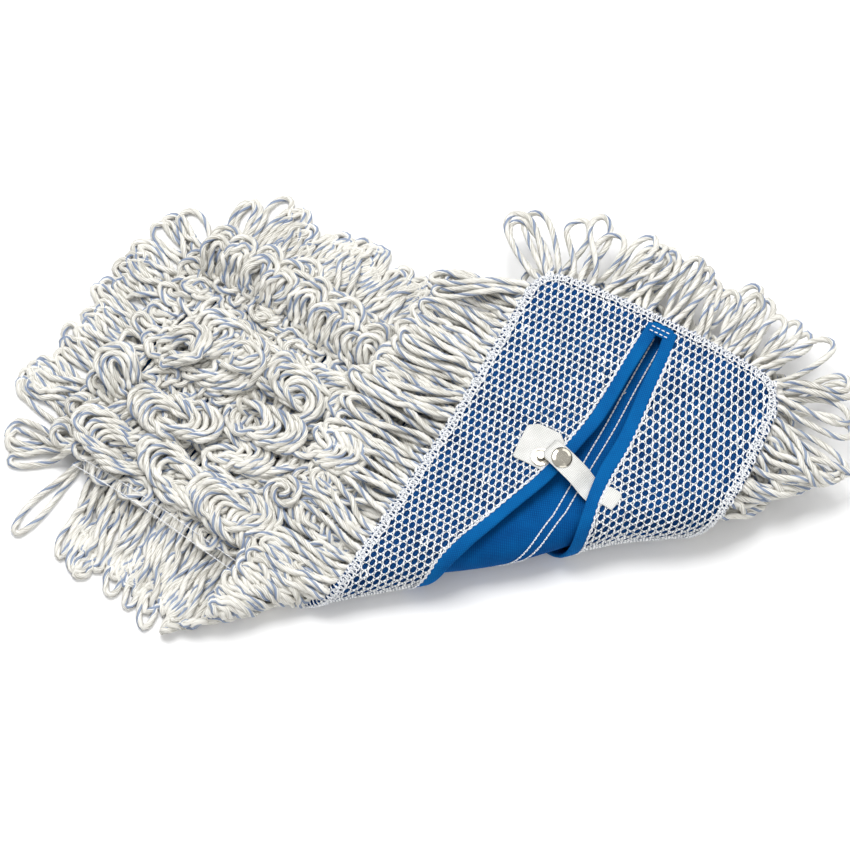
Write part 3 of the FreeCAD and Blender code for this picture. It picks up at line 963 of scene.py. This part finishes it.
class MOPREFILL_OT_yarn(bpy.types.Operator):
    """Builds the rows of looped yarn and the fringe, and lets them settle against each other"""
    bl_idname = "mop_refill.yarn"
    bl_label = "Yarn"

    def execute(self, context):
        groups = {}
        rng = np.random.default_rng(47)
        self.fringe(rng, groups)
        self.underlay(rng, groups)
        self.rows(rng, groups)
        keys = [key for key, strands in sorted(groups.items()) for _ in strands]
        strands = [evened(strand, STRAND_STEP) for _, group in sorted(groups.items()) for strand in group]
        settled = {}
        for key, strand in zip(keys, settle(strands, SETTLE_ROUNDS)):
            settled.setdefault(key, []).append(place(smoothed(strand, 2.3 * MM)))
        for key, strand in self.bed(rng):
            settled[key].append(place(strand))
        self.sewing_threads(rng)
        for k, ((node, body), paths) in enumerate(settled.items()):
            piece = strand_mesh(node + "_loops", paths, settings().yarn_width / 2, YARN_SECTION,
                                [finish("yarn"), finish("tracer")], YARN_TURN, TRACER_FACES, 100 + k)
            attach(piece, BODIES[body])
            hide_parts(node)
        return {"FINISHED"}

    def fringe(self, rng, groups):
        """Long loops all round, in an upper and a lower layer of small bundles."""
        for upper, spacing in ((0, 13.5 * MM), (1, 19 * MM)):
            for where, out in zip(*perimeter(spacing)):
                body = body_index(*where)
                side = "near" if out[1] < -0.72 else "far" if out[1] > 0.72 else "end"
                name = SEGMENTS[body] if body in (1, 2) else "%s_%s" % (side, SEGMENTS[body])
                strands = groups.setdefault(("fringe_" + name, body), [])
                near_flat = side == "near" and body == 0
                heading = math.atan2(out[1], out[0]) + rng.normal(0, 0.16)
                if near_flat:
                    heading += 0.16
                widths = (10, 15) if near_flat else (13, 19)
                root_depth, inside, drop = (7.0 if upper else 5.2) * MM, 3 * MM, -0.10
                if body == 3:
                    drop = 0.06 if side == "far" or where[0] > 430 * MM else 0.18
                    if side == "near" and where[0] < 400 * MM:
                        drop = -0.02
                if upper and near_flat:
                    root_depth, inside, drop = ROOT_DEPTH, 7 * MM, -0.18
                count = rng.integers(1, 3)
                reach = settings().fringe_length * rng.uniform(0.82, 1.0) * FRINGE_SHARE[side]
                twist = rng.choice([0.0, 0.0, 0.25, 0.5]) * rng.choice([-1, 1])
                for k in range(count):
                    shift = k - (count - 1) / 2
                    root = (where[0] - out[0] * inside - out[1] * shift * 4.6 * MM,
                            where[1] - out[1] * inside + out[0] * shift * 4.6 * MM, root_depth)
                    path = yarn_loop(root, heading + shift * 0.08 + rng.normal(0, 0.05), math.pi / 2 - drop,
                                     math.pi / 2 - drop * 2.2, reach * rng.uniform(0.9, 1.04),
                                     rng.uniform(*widths) * MM, 0.0, twist + rng.normal(0, 0.03), 3.9 * MM)
                    strands.append(path + wobble(rng, len(path), 0.6 * MM) * (1, 1, 0.4))

    def sewing_threads(self, rng):
        """Two taut sewing threads that cross the near fringe."""
        runs = []
        for v in (1.0 * MM, -5.0 * MM):
            u = np.linspace(9 * MM, 148 * MM, 30)
            runs.append(np.column_stack([u, v + 1.6 * MM * np.sin(u / (31 * MM)),
                                         14.6 * MM + np.cumsum(rng.normal(0, 0.1 * MM, 30))]))
        sew("fringe_thread", runs, 0.3 * MM, 0.0)

    def bed(self, rng):
        """Yarn laid to and fro across the canvas, close together, that the loops are sewn over."""
        width = (PAD_WIDTH - 2 * EDGE_WIDTH) / 4
        for u in np.arange(5 * MM, PAD_LENGTH - 4 * MM, 4.0 * MM):
            for row in range(4):
                low = EDGE_WIDTH - 2 * MM + width * row - (5 * MM if row == 0 else 0)
                high = EDGE_WIDTH + 2 * MM + width * (row + 1) + (5 * MM if row == 3 else 0)
                v = np.linspace(low, high, 9)
                start = np.maximum(corner_inset(np.clip(v, 0, PAD_WIDTH), 2 * MM), 0)
                over_edge = np.maximum(2 * MM - np.minimum(v, PAD_WIDTH - v), 0)
                depth = CANVAS_HIGH + 2.7 * MM + rng.uniform(-0.3, 0.4, 9) * MM - 0.9 * over_edge
                line = np.column_stack([np.clip(u + 0.6 * MM * np.sin(v / (5 * MM) + u * 900), start,
                                                PAD_LENGTH - start), v, depth])
                yield self.owner(u, v[4]), line

    def underlay(self, rng, groups):
        """Low loops that lie on the canvas between the bundles and over its edge."""
        places = [(u, 3 * MM + (PAD_WIDTH - 6 * MM) * (row + 0.5) / 9 + rng.normal(0, 2 * MM),
                   rng.choice([0, math.pi]) + rng.normal(0, 0.7))
                  for row in range(9) for u in np.arange(7 * MM, PAD_LENGTH - 5 * MM, 7.2 * MM)]
        middle, outward = perimeter(6.5 * MM, 6.5 * MM)
        places += [(where[0], where[1], math.atan2(out[1], out[0]) + rng.normal(0, 0.4))
                   for where, out in zip(middle, outward) if out[1] > -0.72 or body_index(*where) > 0]
        for u, v, heading in places:
            path = yarn_loop((u, v, ROOT_DEPTH), heading, 1.1, 1.55, rng.uniform(17, 23) * MM,
                             rng.uniform(14, 20) * MM, 0.0, rng.normal(0, 0.05))
            strands = groups.setdefault(self.owner(u, v), [])
            strands.append(path + wobble(rng, len(path), 0.8 * MM))

    def rows(self, rng, groups):
        """Rows of bundles: parallel loops that lean on each other, nested loops and loose coils."""
        pitch = (PAD_WIDTH - 8 * MM) / ROWS_SEWN
        for row in range(ROWS_SEWN):
            u = (7 + rng.uniform(0, 8)) * MM
            while u < PAD_LENGTH - 6 * MM:
                v = 4 * MM + pitch * (row + 0.5) + rng.normal(0, 1.5 * MM)
                node, body = self.owner(u, v)
                strands = groups.setdefault((node, body), [])
                crushed = body > 0 or beyond(u, v, CRUSHED_FROM)
                size = 0.62 if crushed else 0.8 if beyond(u, v, BESIDE_FROM) else 1.0
                if row == ROWS_SEWN - 1:
                    step, paths = self.upright(rng, u, v, size)
                elif rng.random() < 0.6:
                    step, paths = self.leaning(rng, u, v, size)
                elif rng.random() < 0.72:
                    step, paths = self.nested(rng, u, v, size)
                else:
                    step, paths = self.coil(rng, u, v, size)
                strands.extend(path + wobble(rng, len(path), 0.7 * MM) for path in paths)
                u += step * (1.35 if crushed else 1.0)

    @staticmethod
    def owner(u, v):
        """The CAD node and the body of a root."""
        body = body_index(u, v)
        if body in (1, 2):
            return "yarn_pile_" + SEGMENTS[body], body
        index = int(np.clip((v - EDGE_WIDTH) / ((PAD_WIDTH - 2 * EDGE_WIDTH) / 4), 0, 3))
        return "yarn_row_%d_%s" % (index + 1, SEGMENTS[body]), body

    @staticmethod
    def upright(rng, u, v, size):
        """Two sets of nested loops that stand along the far side and lean outwards."""
        heading = math.radians(116) + rng.normal(0, 0.16)
        paths = []
        for back in (0, 1):
            width, length = rng.uniform(22, 27) * MM, rng.uniform(34, 39) * MM * size
            for k in range(3):
                root = (u + rng.normal(0, 1) * MM, v + back * 4.5 * MM, ROOT_DEPTH)
                paths.append(yarn_loop(root, heading, 0.3 + 0.2 * back, 1.2 + 0.15 * back,
                                       length - 4.4 * MM * k, width - 8.0 * MM * k, rng.normal(0, 0.5) * MM))
        return rng.uniform(11.5, 14) * MM, paths

    @staticmethod
    def leaning(rng, u, v, size):
        """A run of parallel loops, one behind the other, bent over along the row."""
        heading = rng.choice([0, math.pi]) + rng.normal(0, 0.3)
        count = rng.integers(5, 8)
        width, length = rng.uniform(24, 31) * MM, rng.uniform(34, 41) * MM * size
        lean, curl = rng.uniform(0.35, 0.7), rng.uniform(1.5, 2.0)
        paths = []
        for k in range(count):
            change = 1 + 0.05 * math.sin(k * 1.1 + lean * 9)
            paths.append(yarn_loop((u + k * 3.9 * MM, v, ROOT_DEPTH), heading + k * 0.05, lean, curl,
                                   length * change, width * change, 0.0, rng.normal(0, 0.02)))
        return (count * 3.9 - 3) * MM, paths

    @staticmethod
    def nested(rng, u, v, size):
        """Loops inside each other, bent over to any side."""
        heading = rng.uniform(0, 2 * math.pi)
        width, length = rng.uniform(26, 33) * MM, rng.uniform(36, 43) * MM * size
        lean, curl = rng.uniform(0.35, 0.65), rng.uniform(1.2, 1.7)
        root = (u + 7 * MM, v, ROOT_DEPTH)
        paths = []
        for layer in (0, 1):
            for k in range(3):
                paths.append(yarn_loop(root, heading + rng.normal(0, 0.05), lean, curl,
                                       length - 4.2 * MM * k, max(width - 8.2 * MM * k, 6 * MM),
                                       (layer * 4.2 + rng.normal(0, 0.4)) * MM, rng.normal(0, 0.02)))
        return rng.uniform(15, 19) * MM, paths

    @staticmethod
    def coil(rng, u, v, size):
        """Two strands wound into a loose round coil that lies on the pile."""
        wide, narrow = rng.uniform(15, 18) * MM, rng.uniform(4, 6) * MM
        begin, sense = rng.uniform(0, 2 * math.pi), rng.choice([-1, 1])
        tilt, heading = rng.uniform(0.1, 0.5), rng.uniform(0, 2 * math.pi)
        height = (settings().pile_height - 4 * MM) * size
        paths = []
        for k in (0, 1):
            t = np.linspace(0, 1, 90)
            share = np.clip((t - 0.1) / 0.8, 0, 1)
            angle = begin + sense * 2 * math.pi * 1.55 * share + k * 0.3
            radius = np.maximum(wide - 4.0 * MM * k + (narrow - wide) * share ** 0.9, 2.2 * MM)
            radius = radius * np.clip(t / 0.1, 0.35, 1)
            x, y = radius * np.cos(angle), radius * np.sin(angle)
            rise = height * (0.62 + 0.2 * k + 0.2 * share)
            rise = rise + (x * math.cos(heading) + y * math.sin(heading)) * tilt
            rise = rise * np.clip(t / 0.1, 0, 1) ** 0.7 * np.clip((1 - t) / 0.12, 0, 1) ** 0.7
            paths.append(np.column_stack([u + 8 * MM + x, v + y, ROOT_DEPTH + np.maximum(rise, 0)]))
        return rng.uniform(15, 19) * MM, paths


# ---- snap tab ----
class MOPREFILL_OT_snap_tab(bpy.types.Operator):
    """Builds the strap, its patches and the finish of the snap"""
    bl_idname = "mop_refill.snap_tab"
    bl_label = "Snap Tab"

    def execute(self, context):
        self.strap()
        u, v = unfold(*box_middle("stud_patch")[:2])
        self.patch("stud_patch", u, v, 26 * MM, 24 * MM)
        u = unfold(*box_middle("tab_anchor_patch")[:2])[0]
        beside_binding = PAD_MIDDLE + slit_half(u, 1) + settings().binding_width + 4.5 * MM
        self.patch("tab_anchor_patch", u, beside_binding, 13 * MM, 10 * MM)
        for name in ("snap_cap", "snap_socket", "snap_stud", "stud_eyelet"):
            for slot in bpy.data.objects[name].material_slots:
                slot.link = "OBJECT"
                slot.material = finish("stud" if "stud" in name else "metal")
        return {"FINISHED"}

    @staticmethod
    def patch(name, u, v, length, width):
        """A slightly puckered patch on the folded end."""
        piece = patch_mesh(name + "_cloth", u, v, length, width, -0.5 * MM, 0.9 * MM, finish("webbing"),
                           0.12 * MM)
        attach(piece, "pad_end")
        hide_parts(name)

    def strap(self):
        """Webbing from under the far binding, over the slit, to its pointed tip."""
        joint = JOINTS["tab_hinge"]
        hinge = np.array(joint["pos_m"])
        axis = np.array(joint["axis"]) / np.linalg.norm(joint["axis"])
        ahead = box_middle("snap_cap") - hinge
        ahead -= axis * ahead.dot(axis)
        ahead[2] = ahead[:2].dot(ahead[:2]) ** 0.5 * math.tan(math.radians(9))
        ahead /= np.linalg.norm(ahead)
        normal = np.cross(axis, ahead)
        if normal[2] < 0:
            normal = -normal
        # Down the strap: (distance from the hinge line, rise), from its root under the cover to the tip.
        line = [(-12, -4.3), (-7, -4.3), (-2, -4.2), (1, -4.0), (3, -3.5), (5, -2.6), (7, -1.6), (9, -0.8),
                (12, -0.2), (17, 0), (24, 0), (29, 0), (32, 0), (34, 0)]
        half = 7 * MM
        widths = {29: 1.0, 32: 0.97, 34: 0.72}
        points, uv = [], []
        cross = np.linspace(-1, 1, 9)
        for thick in (0.6, -0.6):
            for distance, rise in line:
                wide = widths.get(distance, 1.0)
                for c in cross:
                    edge = 1 if abs(c) < 0.99 else 0.25
                    base = hinge + axis * c * half * wide + ahead * distance * MM
                    points.append(base + normal * (rise + thick * edge) * MM)
                    uv.append((distance * MM, c * half * wide))
        rows, columns = len(line), len(cross)
        top = grid_faces(rows, columns)
        order = np.arange(rows * columns).reshape(rows, columns)
        loop = np.concatenate([order[:, 0], order[-1, 1:], order[-2::-1, -1], order[0, -2:0:-1]])
        there = np.roll(loop, -1)
        rim = np.column_stack([there, loop, loop + order.size, there + order.size])
        faces = np.concatenate([top, top[:, ::-1] + order.size, rim])
        piece = make_mesh("tab_strap_webbing", points, faces, [finish("webbing")], None, uv)
        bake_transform(piece)
        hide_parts("tab_strap", "tab_strap_root")


# ---- stage ----
# Lamps: name, place in metres, power in watts and side in metres.
LAMPS = (
    ("key", (-0.7, 0.4, 2.05), 37, 1.2),
    ("fill", (1.4, -0.9, 1.3), 9, 1.6),
    ("back", (0.3, 1.6, 1.6), 8, 1.4),
)
SKY_STRENGTH = 0.59
FLOOR_HALF, FLOOR_GAP = 6.0, 0.2 * MM
# The camera's direction in degrees, its distance, and where it aims: on the pad, and shifted in its own view.
AZIMUTH, ELEVATION, DISTANCE = 34.3, 65.3, 2.1
AIM_U, AIM_V, AIM_HEIGHT = 200 * MM, 110 * MM, 20 * MM
AIM_RIGHT, AIM_UP = -10.7 * MM, 29.8 * MM
LENS, SENSOR = 152, 36


class MOPREFILL_OT_stage(bpy.types.Operator):
    """Builds the pale floor, the soft lights and the camera"""
    bl_idname = "mop_refill.stage"
    bl_label = "Stage"

    def execute(self, context):
        scene = context.scene
        self.camera(scene)
        self.lights(scene)
        floor_mesh = bpy.data.meshes.new("floor")
        corners = [(x * FLOOR_HALF, y * FLOOR_HALF, 0) for x, y in ((-1, -1), (1, -1), (1, 1), (-1, 1))]
        floor_mesh.from_pydata(corners, [], [(0, 1, 2, 3)])
        floor = bpy.data.objects.new("floor", floor_mesh)
        # Matt painted board: an even near-white with the faintest mottling, about 40 mm across.
        material, nodes = new_material("matt white board")
        where = add(nodes, "ShaderNodeTexCoord").outputs["Object"]
        pattern = {"Vector": where, "Scale": 25.0, "Detail": 3.0}
        grain = add(nodes, "ShaderNodeTexNoise", pattern).outputs["Fac"]
        whites = [(0.3, linear("#F7F7F7")), (0.7, linear("#FBFBFB"))]
        surface(material, whites, grain, None, {"Roughness": 0.95})
        floor_mesh.materials.append(material)
        scene.collection.objects.link(floor)
        floor.location.z = -FLOOR_GAP
        world = bpy.data.worlds.new("studio")
        world.use_nodes = True
        sky = world.node_tree.nodes
        direction = add(sky, "ShaderNodeTexCoord").outputs["Generated"]
        height = add(sky, "ShaderNodeSeparateXYZ", {"Vector": direction}).outputs["Z"]
        greys = [(0.05, linear("#4A4A4A")), (0.55, linear("#FFFFFF"))]
        shade = add(sky, "ShaderNodeValToRGB", {"Fac": height}, greys).outputs[0]
        world.node_tree.links.new(shade, sky["Background"].inputs["Color"])
        sky["Background"].inputs["Strength"].default_value = SKY_STRENGTH
        scene.world = world
        scene.view_settings.view_transform = "Standard"
        return {"FINISHED"}

    def lights(self, scene):
        """Soft square lamps that face the mop."""
        for name, spot, energy, wide in LAMPS:
            light = bpy.data.lights.new(name, "AREA")
            light.energy, light.size = energy, wide
            lamp = bpy.data.objects.new(name, light)
            lamp.location = spot
            lamp.rotation_euler = (-Vector(spot)).to_track_quat("-Z", "Y").to_euler()
            scene.collection.objects.link(lamp)

    def camera(self, scene):
        """A long lens from above the near right corner."""
        azimuth, elevation = math.radians(AZIMUTH), math.radians(ELEVATION)
        back = Vector((math.sin(azimuth) * math.cos(elevation), -math.cos(azimuth) * math.cos(elevation),
                       math.sin(elevation)))
        right = Vector((math.cos(azimuth), math.sin(azimuth), 0))
        above = back.cross(right)
        aim = Vector((AIM_U + PAD_CORNER[0], AIM_V + PAD_CORNER[1], AIM_HEIGHT))
        aim += right * AIM_RIGHT + above * AIM_UP
        data = bpy.data.cameras.new("camera")
        data.lens, data.sensor_width = LENS, SENSOR
        camera = bpy.data.objects.new("camera", data)
        camera.location = aim + back * DISTANCE
        camera.rotation_mode = "QUATERNION"
        camera.rotation_quaternion = (-back).to_track_quat("-Z", "Y")
        scene.collection.objects.link(camera)
        scene.camera = camera


class MOPREFILL_PT_panel(bpy.types.Panel):
    """Lists the mop's sizes and the steps that build it"""
    bl_idname = "MOPREFILL_PT_panel"
    bl_label = "Mop Refill"
    bl_space_type = "VIEW_3D"
    bl_region_type = "UI"
    bl_category = "Mop Refill"

    def draw(self, context):
        for name in MopRefillSettings.__annotations__:
            self.layout.prop(context.scene.mop_refill, name)
        for operator in OPERATORS:
            self.layout.operator(operator.bl_idname)


OPERATORS = (
    MOPREFILL_OT_stage, MOPREFILL_OT_covers, MOPREFILL_OT_canvas, MOPREFILL_OT_bindings,
    MOPREFILL_OT_serged_edge, MOPREFILL_OT_snap_tab, MOPREFILL_OT_yarn,
)
CLASSES = (MopRefillSettings, *OPERATORS, MOPREFILL_PT_panel)


def register():
    for cls in CLASSES:
        bpy.utils.register_class(cls)
    bpy.types.Scene.mop_refill = bpy.props.PointerProperty(type=MopRefillSettings)


def unregister():
    del bpy.types.Scene.mop_refill
    for cls in reversed(CLASSES):
        bpy.utils.unregister_class(cls)


def main():
    register()
    for operator in OPERATORS:
        group, step = operator.bl_idname.split(".")
        getattr(getattr(bpy.ops, group), step)()


if __name__ == "__main__":
    main()
